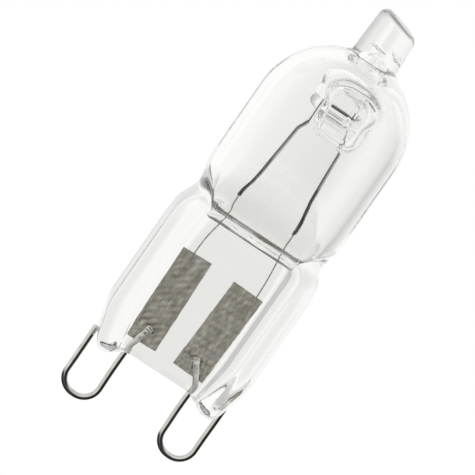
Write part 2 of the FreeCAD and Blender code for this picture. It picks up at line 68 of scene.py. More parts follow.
def waves(seed, count, size, u, v):
    # sum of sine waves in random directions, about 1 high, each about size long
    rng = np.random.default_rng(seed)
    total = np.zeros_like(u + v)
    for turn, phase, scale in rng.uniform((0, 0, 0.6), (math.pi, 2 * math.pi, 1.7), (count, 3)):
        along = u * math.cos(turn) + v * math.sin(turn)
        total = total + np.sin(2 * math.pi / (size * scale) * along + phase)
    return total / math.sqrt(count)


def blurred(grid, rowSigma, columnSigma):
    # Gaussian blur of a grid: mirrored at the first and last row, round in the columns
    twice = np.concatenate([grid, grid[::-1]])
    r = np.fft.fftfreq(twice.shape[0])[:, None] * rowSigma
    c = np.fft.fftfreq(twice.shape[1])[None, :] * columnSigma
    return np.fft.ifft2(np.fft.fft2(twice) * np.exp(-2 * math.pi ** 2 * (r ** 2 + c ** 2))).real[:len(grid)]


def gridFaces(rows, columns, closed=True):
    # quads of a grid whose columns run round, so the last meets the first when closed
    r, k = np.meshgrid(np.arange(rows - 1), np.arange(columns if closed else columns - 1), indexing="ij")
    n = (k + 1) % columns
    low, high = r * columns, (r + 1) * columns
    return np.stack([low + k, low + n, high + n, high + k], axis=-1).reshape(-1, 4).tolist()


def fanFaces(ring, pole):
    # triangles from a ring of points to one point
    return [[ring[i], ring[(i + 1) % len(ring)], pole] for i in range(len(ring))]


def oriented(points, faces, outward=True):
    # turns all faces round when the volume they enclose has the wrong sign
    volume = 0.0
    for size in (3, 4):
        some = np.array([f for f in faces if len(f) == size], dtype=int).reshape(-1, size)
        for i in range(1, size - 1):
            a, b, c = points[some[:, 0]], points[some[:, i]], points[some[:, i + 1]]
            volume += np.einsum("ij,ij->", a, np.cross(b, c))
    return faces if (volume > 0) == outward else [f[::-1] for f in faces]


def makePiece(name, points, faces, material, node, uv=None):
    mesh = bpy.data.meshes.new(name)
    mesh.from_pydata((np.asarray(points) * mm).tolist(), [], faces)
    mesh.polygons.foreach_set("use_smooth", np.ones(len(mesh.polygons), dtype=bool))
    if uv is not None:
        layer = mesh.uv_layers.new(name="mmAlong")
        corners = np.empty(len(mesh.loops), dtype=np.int32)
        mesh.loops.foreach_get("vertex_index", corners)
        layer.data.foreach_set("uv", uv[corners].astype(np.float32).ravel())
    mesh.validate()
    mesh.update()
    piece = bpy.data.objects.new(name, mesh)
    bpy.context.scene.collection.objects.link(piece)
    mesh.materials.append(material)
    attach(piece, "root")
    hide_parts(node)
    return piece


def addNode(tree, kind, inputs=None, links=None, stops=(), **settings):
    # inputs are values on sockets, links lead to sockets, stops are the places and colours of a ramp
    node = tree.nodes.new(kind)
    for key, value in settings.items():
        setattr(node, key, value)
    for key, value in (inputs or {}).items():
        node.inputs[key].default_value = value
    for key, source in (links or {}).items():
        tree.links.new(source, node.inputs[key])
    for place, _ in stops[1:-1]:
        node.color_ramp.elements.new(place)
    for i, (place, colour) in enumerate(stops):
        node.color_ramp.elements[i].position = place
        node.color_ramp.elements[i].color = hexColour(colour)
    return node


def newMaterial(name):
    material = bpy.data.materials.new(name)
    material.use_nodes = True
    tree = material.node_tree
    tree.nodes.clear()
    return material, tree


def finishMaterial(tree, shader):
    addNode(tree, "ShaderNodeOutputMaterial", links={"Surface": shader.outputs[0]})


# Materials

def quartzMaterial():
    # clear fused quartz, fire polished: the eye sees a faint warm grey, and waves about 2 mm long that bend
    # the lines behind
    material, tree = newMaterial("quartz_fire_polished")
    place = addNode(tree, "ShaderNodeTexCoord").outputs["Object"]
    slow = addNode(tree, "ShaderNodeTexNoise", {"Scale": 1 / (2.2 * mm), "Detail": 1.0}, {"Vector": place})
    bump = addNode(tree, "ShaderNodeBump", {"Strength": 0.25, "Distance": 0.02 * mm},
                   {"Height": slow.outputs["Fac"]})
    shader = addNode(tree, "ShaderNodeBsdfPrincipled",
                     {"Base Color": hexColour("FDFDFC"), "Roughness": 0.0, "IOR": 1.458,
                      "Transmission Weight": 1.0},
                     {"Normal": bump.outputs["Normal"]})
    finishMaterial(tree, shader)
    return material


def wireMaterial(name, dark, light, roughness, lineSize, relief):
    # drawn metal wire: long faint die lines, and patches of about 0.6 mm where it is duller and darker
    material, tree = newMaterial(name)
    along = addNode(tree, "ShaderNodeUVMap", uv_map="mmAlong").outputs["UV"]
    place = addNode(tree, "ShaderNodeTexCoord").outputs["Object"]
    drawn = addNode(tree, "ShaderNodeMapping", {"Scale": (1 / lineSize, 0.35, 1.0)}, {"Vector": along})
    lines = addNode(tree, "ShaderNodeTexNoise", {"Scale": 1.0, "Detail": 3.0},
                    {"Vector": drawn.outputs["Vector"]})
    patch = addNode(tree, "ShaderNodeTexNoise", {"Scale": 1 / (0.6 * mm), "Detail": 4.0}, {"Vector": place})
    colour = addNode(tree, "ShaderNodeValToRGB", links={"Fac": patch.outputs["Fac"]},
                     stops=[(0.32, dark), (0.62, light)])
    rough = addNode(tree, "ShaderNodeMapRange", {"To Min": roughness[0], "To Max": roughness[1]},
                    {"Value": patch.outputs["Fac"]})
    bump = addNode(tree, "ShaderNodeBump", {"Strength": 0.5, "Distance": relief * mm},
                   {"Height": lines.outputs["Fac"]})
    shader = addNode(tree, "ShaderNodeBsdfPrincipled", {"Metallic": 1.0},
                     {"Base Color": colour.outputs["Color"], "Roughness": rough.outputs["Result"],
                      "Normal": bump.outputs["Normal"]})
    finishMaterial(tree, shader)
    return material


def foilMaterial():
    # rolled molybdenum foil: warm grey-brown, with lighter and darker streaks in its colour
    material, tree = newMaterial("molybdenum_rolled_foil")
    place = addNode(tree, "ShaderNodeTexCoord").outputs["Object"]
    tilted = addNode(tree, "ShaderNodeMapping", {"Rotation": (0, 0.5, 0), "Scale": (1.0, 1.0, 0.3)},
                     {"Vector": place})
    streak = addNode(tree, "ShaderNodeTexNoise", {"Scale": 1 / (0.35 * mm), "Detail": 5.0, "Roughness": 0.62},
                     {"Vector": tilted.outputs["Vector"]})
    grain = addNode(tree, "ShaderNodeTexNoise", {"Scale": 1 / (0.12 * mm), "Detail": 4.0}, {"Vector": place})
    colour = addNode(tree, "ShaderNodeValToRGB", links={"Fac": streak.outputs["Fac"]},
                     stops=[(0.28, "A09C91"), (0.5, "B9B5A9"), (0.72, "DAD7CE")])
    rough = addNode(tree, "ShaderNodeMapRange", {"To Min": 0.32, "To Max": 0.62},
                    {"Value": grain.outputs["Fac"]})
    bump = addNode(tree, "ShaderNodeBump", {"Strength": 0.6, "Distance": 0.02 * mm},
                   {"Height": grain.outputs["Fac"]})
    shader = addNode(tree, "ShaderNodeBsdfPrincipled", {"Metallic": 1.0},
                     {"Base Color": colour.outputs["Color"], "Roughness": rough.outputs["Result"],
                      "Normal": bump.outputs["Normal"]})
    finishMaterial(tree, shader)
    return material


quartz = quartzMaterial()
tungsten = wireMaterial("tungsten_coiled_wire", "4A4845", "6B6864",
                        roughness=(0.35, 0.6), lineSize=0.03, relief=0.002)
leadWire = wireMaterial("molybdenum_lead_wire", "9A9690", "BDB9B3",
                        roughness=(0.25, 0.45), lineSize=0.04, relief=0.002)
loopWire = wireMaterial("molybdenum_bright_wire", "C6C3BE", "D9D6D1",
                        roughness=(0.08, 0.16), lineSize=0.05, relief=0.0006)
foilMetal = foilMaterial()
print("materials made")


# Quartz envelope: outer skin, hollow and a few trapped bubbles, all in one piece
# Pairs are the two ends of a stretch over which one form turns into the next

envelope = {
    # bulb: waist, straight wall, dome
    "bulbRadius": 6.3, "waistRadius": 5.82, "waistHeight": 14.4, "flareTop": 16.1, "domeCentre": 23.5,
    "wall": 0.9,
    # stub of the exhaust tube
    "tubeFrom": 27.0, "tubeFoot": 30.0, "tipRadius": 1.95, "tipTaper": 0.04, "tipTop": 33.8, "tipRound": 0.7,
    "tipSlant": 0.19, "slantFrom": 30.4, "tipFillet": 1.3, "filletRight": 0.5, "filletFront": 0.55,
    "domeFall": 2.5,
    # press: a web between two rails that hang a little below it
    "pressHalf": 6.5, "railHalf": 2.3, "railWidth": 1.3, "railFlank": 1.1, "webHalf": 1.2, "pressRound": 0.32,
    "railSpan": (3.2, 5.2), "railBlend": 0.8, "spreadFrom": 12.4, "footRound": 0.4,
    "cornerHeight": 2.7, "cornerCut": 0.3, "cornerBlend": 0.8,
    "railDrop": 0.7, "dropInner": (2.4, 4.6), "dropOuter": (5.1, 6.3), "dropTop": 3.0,
    # neck: slopes left by the jaws, front and back
    "jawFoot": 13.0, "jawSlope": 1.342, "jawRound": 2.2, "jawSide": 0.3, "jawBlend": 1.2,
    "widthMix": (12.0, 15.6), "depthMix": (11.8, 14.2),
    "neckRows": (9.9, 19.1), "neckIn": (10.2, 11.6), "neckOut": (17.4, 18.8), "neckBlur": (4.5, 2.0),
    # dimples, front and back, and the post between them
    "postHalf": 1.4, "postMiddle": 25.4, "postTall": 1.4, "postRound": 0.45, "postCrown": 0.9, "skin": 0.55,
    "dimpleFloor": 0.5, "dimpleFlare": 0.11, "dimpleLift": 0.16, "liftTop": 27.2, "dimpleRim": 1.8,
    "dimpleBlend": 0.5, "dimpleRows": (20, 29.5),
    # hollow: slot at its foot, bore into the tip
    "slotHalf": 4.25, "slotGap": 0.55, "slotNeck": 0.1, "slotFloor": 12.56, "slotTop": 13.56,
    "slotRound": 0.5, "slotLumps": 0.14, "slotBlend": 0.15, "flareEarly": 0.2, "flareLate": 0.6,
    "boreRadius": 1.0, "boreFoot": 28.9, "boreTop": 30.4, "boreBlend": 0.5,
    "rayCentre": 25.2, "squareSpan": (22, 25.5), "domeSpan": (25.5, 28), "domeRoom": 4.0,
    "closeSpan": (13.4, 14.3), "closeDepth": 0.6, "postFoot": 0.24, "postRim": 1.5, "sideBlend": 0.1,
}


def postDistance(x, z):
    # distance outside the outline of the post, a box with rounded corners, negative inside it
    e = envelope
    corner = np.where(z > e["postMiddle"], e["postCrown"], e["postRound"])
    qx = np.abs(x) - e["postHalf"] + corner
    qz = np.abs(z - e["postMiddle"]) - e["postTall"] + corner
    return np.hypot(np.maximum(qx, 0), np.maximum(qz, 0)) + np.minimum(np.maximum(qx, qz), 0) - corner


def dimpleSpread(z):
    # widening of a dimple for each millimetre of depth, more above the post than below it
    e = envelope
    return e["dimpleFlare"] + e["dimpleLift"] * smoothStep(e["postMiddle"], e["liftTop"], z)


def pressSection(columns, fine=20):
    # outline of the press, two rails and a web: straight lines, softened by a Gaussian along their length
    e = envelope
    corners = np.array([[e["pressHalf"], 0], [e["pressHalf"], e["railHalf"]],
                        [e["pressHalf"] - e["railWidth"], e["railHalf"]],
                        [e["pressHalf"] - e["railWidth"] - e["railFlank"], e["webHalf"]], [0, e["webHalf"]]])
    lengths = np.concatenate([[0], np.cumsum(np.hypot(*np.diff(corners, axis=0).T))])
    count = columns // 4 * fine
    at = np.arange(count) / count * lengths[-1]
    quarter = np.stack([np.interp(at, lengths, corners[:, i]) for i in (0, 1)], axis=1)
    middle = np.array([[0, e["webHalf"]]])
    half = np.concatenate([quarter, middle, quarter[:0:-1] * (-1, 1)])
    side = np.array([[-e["pressHalf"], 0]])
    whole = np.concatenate([half, side, half[:0:-1] * (1, -1)])
    wave = np.fft.fft(whole[:, 0] + 1j * whole[:, 1])
    frequency = np.fft.fftfreq(len(whole), lengths[-1] / count)
    soft = np.fft.ifft(wave * np.exp(-2 * (math.pi * frequency * e["pressRound"]) ** 2))[::fine]
    return soft.real, soft.imag


def bulbRadius(z, turn):
    # S-shaped flare out of the waist, straight wall, half sphere that falls on steeply inside the tube, and
    # the tube blended on, most softly at the right
    e = envelope
    flare = smoothStep(e["waistHeight"], e["flareTop"], z)
    wall = e["waistRadius"] + (e["bulbRadius"] - e["waistRadius"]) * flare
    dome = np.sqrt(np.maximum(e["bulbRadius"] ** 2 - np.maximum(z - e["domeCentre"], 0) ** 2, 0))
    dome = dome - e["domeFall"] * np.maximum(z - e["domeCentre"] - e["bulbRadius"], 0)
    body = np.minimum(wall, dome)
    tip = e["tipRadius"] - e["tipTaper"] * (z - e["tubeFoot"])
    fillet = e["tipFillet"] * (1 + e["filletRight"] * np.cos(turn) - e["filletFront"] * np.sin(turn) ** 2)
    return np.where(z > e["tubeFrom"], softMax(body, tip, fillet), body)


def jawDepth(z):
    # sloping planes that flatten the round bulb down to the web, front and back
    e = envelope
    return softMax(e["webHalf"] + (z - e["jawFoot"]) * e["jawSlope"], e["webHalf"] + 0 * z, e["jawBlend"])


def skinRows():
    # heights of the rings: round foot, stretches with their number of rings, round rim of the tip
    e = envelope
    rimFoot = e["tipTop"] - e["tipRound"]
    stretches = [(0.55, 3.2, 15), (3.5, 9.7, 12), (10, 19, 72), (19.3, 20.8, 5), (21, 28.8, 78),
                 (28.86, 30.6, 30), (30.75, rimFoot, 15)]
    foot = e["footRound"] * (1 - np.cos(np.linspace(0, math.pi / 2, 7)))
    rim = rimFoot + e["tipRound"] * np.sin(np.linspace(0, math.pi / 2, 11)[1:])
    return np.concatenate([foot] + [np.linspace(*stretch) for stretch in stretches] + [rim])


def skinGrid(rows, columns):
    # rings from the foot up: the outline of the press turns into a circle, and the jaws flatten that circle
    e = envelope
    v = rows[:, None]
    angle = np.arange(columns)[None, :] / columns * 2 * math.pi
    angle = angle + 0.2 * np.sin(2 * angle)  # closer together at the dimples
    sx, sy = pressSection(columns)
    nx, ny = np.roll(sy, -1) - np.roll(sy, 1), np.roll(sx, 1) - np.roll(sx, -1)
    norm = np.hypot(nx, ny)
    nx, ny = nx / norm, ny / norm
    radius = bulbRadius(v, angle)
    # press: narrower at the waist and at the lower corners, with a rounded lower edge
    spread = (e["pressHalf"] - e["waistRadius"]) * smoothStep(e["spreadFrom"], e["waistHeight"], v)
    cut = e["cornerCut"] * softMax(e["cornerHeight"] - v, 0 * v, e["cornerBlend"])
    rail = smoothStep(*e["railSpan"], np.abs(sx))
    under = np.maximum(e["footRound"] - v, 0)
    inset = e["footRound"] - np.sqrt(np.maximum(e["footRound"] ** 2 - under ** 2, 0))
    pressX = sx - np.sign(sx) * (spread + cut) * rail - inset * nx
    pressY = sy - inset * ny
    # neck: from press to bulb, then blurred, as the softened glass has no creases there
    bulbX, bulbY = radius * np.cos(angle), radius * np.sin(angle)
    jaw = softMax(jawDepth(v), np.abs(pressY), e["railBlend"])
    flatY = softMin(np.abs(bulbY), jaw, np.minimum(e["jawRound"], e["jawSide"] + np.abs(bulbY)))
    x = bulbX + (pressX - bulbX) * (1 - smoothStep(*e["widthMix"], v))
    y = np.sign(bulbY) * flatY
    y = y + (pressY - y) * (1 - smoothStep(*e["depthMix"], v))
    neck = (rows > e["neckRows"][0]) & (rows < e["neckRows"][1])
    share = smoothStep(*e["neckIn"], v[neck]) * (1 - smoothStep(*e["neckOut"], v[neck]))
    x[neck] += (blurred(x[neck], *e["neckBlur"]) - x[neck]) * share
    y[neck] += (blurred(y[neck], *e["neckBlur"]) - y[neck]) * share
    # tip: the end is snapped off aslant, with a rounded rim; rails: they hang below the web
    rimFoot = e["tipTop"] - e["tipRound"]
    slant = -e["tipSlant"] * (x + e["tipRadius"]) * smoothStep(e["slantFrom"], rimFoot, v)
    over = np.maximum(v - rimFoot, 0) / e["tipRound"]
    rim = e["tipRound"] * (1 - np.sqrt(np.maximum(1 - over ** 2, 0)))
    drop = smoothStep(*e["dropInner"], np.abs(x)) * (1 - smoothStep(*e["dropOuter"], np.abs(x)))
    z = v + slant - e["railDrop"] * drop * (1 - smoothStep(0, e["dropTop"], v))
    shrink = 1 - rim / radius
    return x * shrink, y * shrink, z


def dimpledDepth(v, x, y, z):
    # depth of the skin with deep recesses from front and back, which leave the post between them
    e = envelope
    distance = postDistance(x, z)
    side = (distance + e["skin"]) / dimpleSpread(z)
    dimple = softMax(e["dimpleFloor"] + 0 * distance, side, e["dimpleBlend"])
    pressed = np.sign(y) * softMin(np.abs(y), dimple, np.minimum(e["dimpleRim"], np.abs(y) + 0.01))
    low, high = e["dimpleRows"]
    return np.where((v > low) & (v < high), pressed, y)


def closeTop(points, last):
    # flat rings that shrink from the last ring to a pole in its middle
    ring = points[last]
    middle = ring.mean(axis=0)
    after = np.roll(np.arange(len(last)), -1)
    faces = []
    for share in (0.75, 0.5, 0.25):
        new = len(points) + np.arange(len(last))
        points = np.concatenate([points, middle + (ring - middle) * share])
        faces += np.stack([last, last[after], new[after], new], axis=1).tolist()
        last = new
    points = np.concatenate([points, [middle]])
    return points, faces + fanFaces(last.tolist(), len(points) - 1)


def closeFoot(points, columns, strips=6):
    # each column of the lowest ring joined to its mirror column by a straight strip from back to front
    half = columns // 2
    j = np.arange(1, half)
    share = (np.arange(1, strips) / strips)[None, :, None]
    inner = points[j][:, None] * (1 - share) + points[columns - j][:, None] * share
    between = len(points) + np.arange((half - 1) * (strips - 1)).reshape(half - 1, strips - 1)
    table = np.concatenate([j[:, None], between, (columns - j)[:, None]], axis=1)
    a, b, c, d = table[:-1, :-1], table[1:, :-1], table[1:, 1:], table[:-1, 1:]
    faces = np.stack([a, b, c, d], axis=-1).reshape(-1, 4).tolist()
    faces += [[0, int(table[0, i]), int(table[0, i + 1])] for i in range(strips)]
    faces += [[half, int(table[-1, i + 1]), int(table[-1, i])] for i in range(strips)]
    return np.concatenate([points, inner.reshape(-1, 3)]), faces


def outerSkin(columns=240):
    # grid of rings, pressed in at the dimples and closed at the top and at the foot
    rows = skinRows()
    x, y, z = skinGrid(rows, columns)
    skin = (rows, x, np.abs(y))
    points = np.stack([x, dimpledDepth(rows[:, None], x, y, z), z], axis=-1).reshape(-1, 3)
    points, topFaces = closeTop(points, (len(rows) - 1) * columns + np.arange(columns))
    points, footFaces = closeFoot(points, columns)
    return points, oriented(points, gridFaces(len(rows), columns) + topFaces + footFaces), skin


def hollowDome(z):
    # half width one wall inside the bulb: straight, then a half sphere
    e = envelope
    inside = e["bulbRadius"] - e["wall"]
    return np.sqrt(np.maximum(inside ** 2 - np.maximum(z - e["domeCentre"], 0) ** 2, 0))


def cavityRadius(z):
    # half width of the hollow: slot with round ends, flare, straight wall, dome, and a bore with a round end
    e = envelope
    flare = smoothStep(e["slotTop"] - e["flareEarly"], e["flareTop"] + e["flareLate"], z)
    wall = e["slotHalf"] + (e["bulbRadius"] - e["wall"] - e["slotHalf"]) * flare
    body = np.minimum(wall, hollowDome(z))
    up = np.maximum(z - e["boreFoot"], 0) / (e["boreTop"] - e["boreFoot"])
    end = np.sqrt(np.maximum(1 - up ** 2, 0))
    bore = softMax(body, e["boreRadius"] * end, e["boreBlend"]) * (end > 0)
    deep = np.clip((z - e["slotFloor"]) / e["slotRound"], 0, 1)
    foot = body - e["slotRound"] + e["slotRound"] * np.sqrt(deep * (2 - deep))
    return np.where(z > e["tubeFrom"], bore, np.where(deep > 0, foot, 0))


def lookUp(heights, widths, table, x, z):
    # straight-line reading between the four nearest values of the table
    i = np.clip((z - heights[0]) / (heights[1] - heights[0]), 0, len(heights) - 1.001)
    j = np.clip((x - widths[0]) / (widths[1] - widths[0]), 0, len(widths) - 1.001)
    a, b = i.astype(int), j.astype(int)
    i, j = i - a, j - b
    low = table[a, b] * (1 - j) + table[a, b + 1] * j
    high = table[a + 1, b] * (1 - j) + table[a + 1, b + 1] * j
    return low * (1 - i) + high * i


def innerDepth(skin, x, z, pull=0.4):
    # depth one wall inside the outer face: the point on that face whose square line meets x and z is found by
    # stepping towards it, a part of the way each time
    rows, skinX, skinY = skin
    keep = (rows > 10.5) & (rows < 30.3)
    heights = np.linspace(10.6, 30.2, 393)  # a table with a value each 0.05 mm
    widths = np.linspace(-6.5, 6.5, 261)
    half = skinX.shape[1] // 2 + 1
    lines = np.stack([np.interp(widths, row[:half][::-1], deep[:half][::-1])
                      for row, deep in zip(skinX[keep], skinY[keep])])
    depth = np.stack([np.interp(heights, rows[keep], lines[:, i]) for i in range(len(widths))], axis=1)
    depth = blurred(depth, 2.5, 2.0)
    tiltZ, tiltX = np.gradient(depth, heights, widths)
    steep = np.sqrt(1 + tiltX ** 2 + tiltZ ** 2) / envelope["wall"]
    fromX, fromZ = x, z
    for _ in range(40):
        shiftX, shiftZ = (lookUp(heights, widths, tilt / steep, fromX, fromZ) for tilt in (tiltX, tiltZ))
        fromX = (1 - pull) * fromX + pull * (x - shiftX)
        fromZ = (1 - pull) * fromZ + pull * (z - shiftZ)
    outer, back = (lookUp(heights, widths, table, fromX, fromZ) for table in (depth, 1 / steep))
    return outer - back


def cavity(skin, rays=280, steps=64):
    # rays from the post to the outline of the hollow; front sheet and back sheet meet at both ends
    e = envelope
    turn = np.arange(rays) / rays * 2 * math.pi
    angle = turn + 0.5 * np.sin(turn)  # closer together towards the slot
    dx, dz = np.sin(angle), np.cos(angle)
    centre = e["rayCentre"]

    def reach(test, far):
        # how far each ray passes the test, by halving
        low, high = np.zeros(rays), np.full(rays, far)
        for _ in range(40):
            middle = (low + high) / 2
            inside = test(middle * dx, centre + middle * dz)
            low, high = np.where(inside, middle, low), np.where(inside, high, middle)
        return low

    near = reach(lambda x, z: postDistance(x, z) < 0, 3.0)
    far = reach(lambda x, z: np.abs(x) < cavityRadius(z), 14.0)
    spread = (1 - np.cos(np.linspace(0, math.pi, steps + 1))) / 2
    length = near[:, None] + (far - near)[:, None] * spread[None, :]
    x, z = length * dx[:, None], centre + length * dz[:, None]
    # sides: an ellipse to the fourth power below, so that the front follows the skin, and round in the dome
    half = cavityRadius(z)
    power = 4 - 2 * smoothStep(*e["squareSpan"], z)
    share = np.abs(x) / np.maximum(half, 1e-6)
    wide = np.where(z > e["tubeFrom"], half, hollowDome(z)) * np.sqrt(np.maximum(1 - share ** power, 0))
    # front and back: one wall inside the skin, free of it in the dome, closing towards the slot
    slope = innerDepth(skin, x, z) + e["domeRoom"] * smoothStep(*e["domeSpan"], z)
    slope = slope - e["closeDepth"] * (1 - smoothStep(*e["closeSpan"], z))
    # foot: the hollow narrows to a neck and swells again, so the slot looks like a flattened, lumpy bead
    rise = (z - e["slotFloor"]) / (e["slotTop"] - e["slotFloor"])
    bead = e["slotGap"] * np.sqrt(np.maximum(1 - (2 * np.clip(rise, 0, 1) - 1) ** 2, 0))
    bead = bead * (1 + e["slotLumps"] * waves(41, 5, 2.2, x, 2 * z))
    jaw = softMax(slope, np.maximum(bead, e["slotNeck"] * smoothStep(0.5, 1, rise)), e["slotBlend"])
    # post: the sheets part from each other at its outline and follow the sides of the dimples
    gap = np.maximum(postDistance(x, z), 0)
    post = np.sqrt(gap * (gap + e["postFoot"])) / dimpleSpread(z)
    depth = softMin(wide, jaw, np.minimum(wide, e["sideBlend"]) + 1e-6)
    blend = np.minimum(np.minimum(post, depth), e["postRim"]) + 1e-6
    depth = np.maximum(softMin(depth, post, blend), 0)
    depth[:, 0] = 0
    depth[:, -1] = 0
    front = np.stack([x, -depth, z], axis=-1)
    back = np.stack([x, depth, z], axis=-1)[:, -2:0:-1]
    points = np.concatenate([front, back], axis=1)
    around = points.shape[1]
    seam = np.arange(around)
    after = np.roll(seam, -1)
    last = (rays - 1) * around
    faces = gridFaces(rays, around) + np.stack([last + seam, last + after, after, seam], axis=1).tolist()
    points = points.reshape(-1, 3)
    return points, oriented(points, faces, outward=False)


bubbles = [  # place, half sizes, lean in degrees and seed: three in the tip, one above the right weld
    ((-0.26, 0, 30.84), (0.50, 0.30, 0.21), 10, 5),
    ((0.75, 0, 30.95), (0.13, 0.22, 0.52), -35, 6),
    ((1.20, 0, 30.75), (0.15, 0.22, 0.50), -35, 7),
    ((1.38, -0.2, 3.24), (0.2, 0.1, 0.15), 20, 8),
]


def airBubble(place, sizes, lean, seed, rings=24, columns=40):
    # a ball with lumps: radius over direction = ellipsoid times one plus a few slow waves
    polar = np.linspace(0, math.pi, rings + 2)[1:-1, None]
    turn = np.arange(columns)[None, :] / columns * 2 * math.pi
    x = np.sin(polar) * np.cos(turn)
    y = np.sin(polar) * np.sin(turn)
    z = np.cos(polar) + 0 * turn
    lump = 1 + 0.10 * waves(seed, 5, 1.6, x + 0.4 * y, z) + 0.06 * waves(seed + 20, 4, 0.9, y, x - z)
    ball = (np.stack([x, y, z], axis=-1) * lump[..., None]).reshape(-1, 3)
    ball = np.concatenate([ball, [[0, 0, 1], [0, 0, -1]]])
    tilt = np.array(Matrix.Rotation(math.radians(lean), 3, "Y"))
    points = (ball * sizes) @ tilt.T + place
    faces = gridFaces(rings, columns)
    faces += fanFaces(list(range(columns)), rings * columns)
    faces += fanFaces(list(range((rings - 1) * columns, rings * columns))[::-1], rings * columns + 1)
    return points, oriented(points, faces, outward=False)


points, faces, skin = outerSkin()
for more, moreFaces in [cavity(skin)] + [airBubble(*bubble) for bubble in bubbles]:
    faces = faces + [[i + len(points) for i in f] for f in moreFaces]
    points = np.concatenate([points, more])
glass = makePiece("quartz_capsule", points, faces, quartz, "quartz_envelope")
glass.visible_shadow = False  # so that the lamp's light reaches the metal inside
print("glass made,", len(faces), "faces")


# Wires: a round or flattened section carried along a path

def cornerPath(corners, bends, spacing):
    # straight stretches with an arc of the given radius at each inner corner, points at even spacing
    corners = [np.array(c, dtype=float) for c in corners]
    parts = [corners[0][None, :]]
    for before, at, after, bend in zip(corners, corners[1:], corners[2:], bends):
        a = (before - at) / np.linalg.norm(before - at)
        b = (after - at) / np.linalg.norm(after - at)
        half = math.acos(np.clip(a @ b, -1, 1)) / 2
        cut = bend / math.tan(half)
        middle = at + (a + b) / np.linalg.norm(a + b) * bend / math.sin(half)
        start, end = at + a * cut - middle, at + b * cut - middle
        sweep = math.pi - 2 * half
        t = np.linspace(0, 1, 24)[:, None]
        parts.append(middle + (np.sin((1 - t) * sweep) * start + np.sin(t * sweep) * end) / math.sin(sweep))
    parts.append(corners[-1][None, :])
    path = np.concatenate(parts)
    lengths = np.concatenate([[0], np.cumsum(np.linalg.norm(np.diff(path, axis=0), axis=1))])
    at = np.linspace(0, lengths[-1], int(lengths[-1] / spacing) + 1)
    return np.stack([np.interp(at, lengths, path[:, i]) for i in range(3)], axis=1), at


def tube(path, at, across, up, wide, tall, sides):
    # ring of sides at every path point: wide along across, tall along up; both ends draw in a little, round
    # like a quarter circle, and are closed by a fan
    end = min(wide[0], wide[-1])
    nearEnd = np.clip(np.minimum(at - at[0], at[-1] - at) / (0.3 * end), 0, 1)
    shrink = (0.72 + 0.28 * np.sqrt(1 - (1 - nearEnd) ** 2))[:, None, None]
    turn = np.arange(sides) / sides * 2 * math.pi
    ring = (across[:, None] * (np.cos(turn)[None, :] * wide[:, None])[..., None]
            + up[:, None] * (np.sin(turn)[None, :] * tall[:, None])[..., None])
    points = (path[:, None] + ring * shrink).reshape(-1, 3)
    count = len(path)
    uv = np.stack([np.tile(turn * wide.mean(), count), np.repeat(at, sides)], axis=1)
    points = np.concatenate([points, path[[0, -1]]])
    uv = np.concatenate([uv, [[0, at[0]], [0, at[-1]]]])
    faces = gridFaces(count, sides)
    faces += fanFaces(list(range(sides))[::-1], count * sides)
    faces += fanFaces(list(range((count - 1) * sides, count * sides)), count * sides + 1)
    return points, oriented(points, faces), uv


def flatFrame(path):
    # across lies in the plane of the lamp, up is the depth axis
    along = np.gradient(path, axis=0)
    along /= np.linalg.norm(along, axis=1)[:, None]
    up = np.tile([0.0, 1.0, 0.0], (len(path), 1))
    across = np.cross(along, up)
    across /= np.linalg.norm(across, axis=1)[:, None]
    return across, np.cross(across, along)


loops = {
    "wire": 0.25, "outerX": 6.0, "innerX": 3.0, "bottom": -5.3, "freeEnd": 0.25, "bend": 1.42,
    "bendStart": 0.6, "weldTop": 2.6, "weldLeftX": 2.4, "weldRightX": 1.8, "weldBend": 0.6,
    "crushSpan": (0.9, 2.1), "crushWide": 0.22, "dentWide": 0.10, "crushTall": 0.42, "dentTall": 0.16,
    "wander": 0.02, "spacing": 0.06, "sides": 40,
}


def contactLoop(name, side, weldX, node, seed):
    # round wire down, across and up, then leaning in to the weld, where it is crushed wide and flat, with
    # dents made of waves
    c = loops
    corners = [(side * c["outerX"], 0, c["freeEnd"]), (side * c["outerX"], 0, c["bottom"]),
               (side * c["innerX"], 0, c["bottom"]), (side * c["innerX"], 0, c["bendStart"]),
               (side * weldX, 0, c["weldTop"])]
    path, at = cornerPath(corners, [c["bend"], c["bend"], c["weldBend"]], c["spacing"])
    across, up = flatFrame(path)
    crushed = 1 - smoothStep(*c["crushSpan"], at[-1] - at)
    wide = c["wire"] * (1 + crushed * (c["crushWide"] + c["dentWide"] * waves(seed, 4, 0.7, at, 0 * at)))
    tall = c["wire"] * (1 - crushed * (c["crushTall"] + c["dentTall"] * waves(seed + 1, 4, 0.5, at, 0 * at)))
    path = path + across * (c["wander"] * waves(seed + 2, 3, 4.0, at, 0 * at))[:, None]
    points, faces, uv = tube(path, at, across, up, wide, tall, c["sides"])
    return makePiece(name, points, faces, loopWire, node, uv)


contactLoop("loop_left", -1, loops["weldLeftX"], "contact_loop_left", 11)
contactLoop("loop_right", 1, loops["weldRightX"], "contact_loop_right", 17)
print("loops made")


# Inner leads: from the foil up into the coiled leg

leads = {
    "wire": 0.06, "foot": 7.0, "top": 19.0,
    "legLowX": 2.5, "legLowZ": 15.0, "legHighX": 1.9, "legHighZ": 22.2,
    "bowLeft": -0.12, "bowRight": 0.05, "bowFoot": 8.5, "bowLength": 4.6, "spacing": 0.05, "sides": 14,
}


def legX(z):
    # straight line through the lower and the upper end of a coiled leg
    c = leads
    return c["legLowX"] + (z - c["legLowZ"]) * (c["legHighX"] - c["legLowX"]) / (c["legHighZ"] - c["legLowZ"])


def leadX(side, z):
    # a straight line on the axis of the leg, bowed sideways by a squared sine between foil and slot
    c = leads
    bow = c["bowLeft"] if side < 0 else c["bowRight"]
    return side * legX(z) + bow * np.sin(math.pi * np.clip((z - c["bowFoot"]) / c["bowLength"], 0, 1)) ** 2


